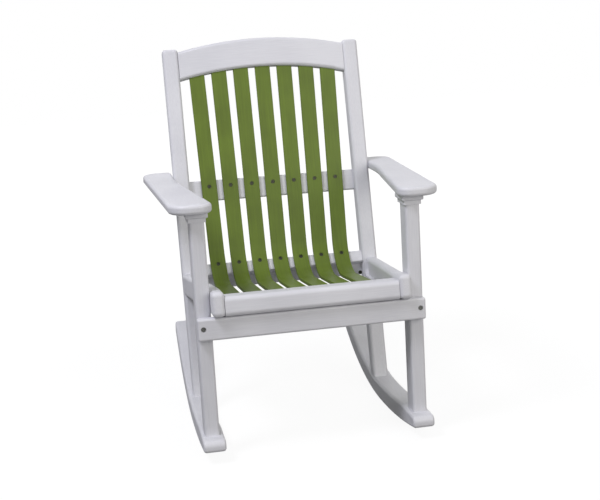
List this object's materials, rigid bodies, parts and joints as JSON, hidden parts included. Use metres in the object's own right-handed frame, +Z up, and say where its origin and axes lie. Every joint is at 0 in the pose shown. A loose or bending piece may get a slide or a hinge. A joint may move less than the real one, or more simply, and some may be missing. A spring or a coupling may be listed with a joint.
{
  "type": "rocking chair",
  "caption": "Rocking adirondack chair: white board frame on curved rockers, wide flat arms, arched crest rail and bent green slats that form both seat and back.",
  "frame": {"origin": "on the floor, under the middle of the chair's bounding box", "axes": "+Z up, the sitter looks towards -Y, +X is the sitter's left"},
  "size_m": [0.7472, 0.8317, 1.0529],
  "materials": {
    "frame": "white recycled plastic boards, fine satin grain",
    "slats": "olive green bent strips, semi-gloss",
    "fasteners": "stainless screws, dull"
  },
  "bodies": {
    "root": {"apron_bolts": "fasteners", "arm_cap_left": "frame", "arm_cap_right": "frame", "arm_left": "frame", "arm_right": "frame", "back_post_left": "frame", "back_post_right": "frame", "crest_rail": "frame", "front_apron": "frame", "front_leg_left": "frame", "front_leg_right": "frame", "front_seat_rail": "frame", "lower_back_rail": "frame", "mid_back_rail": "frame", "rear_rail_screws": "fasteners", "rear_seat_rail": "frame", "rocker_left": "frame", "rocker_right": "frame", "seat_cleat_left": "frame", "seat_cleat_right": "frame", "seat_rail_left": "frame", "seat_rail_right": "frame", "slat_1": "slats", "slat_2": "slats", "slat_3": "slats", "slat_4": "slats", "slat_5": "slats", "slat_6": "slats", "slat_7": "slats", "slat_screws_lower": "fasteners", "slat_screws_mid": "fasteners"}
  },
  "joints": []
}
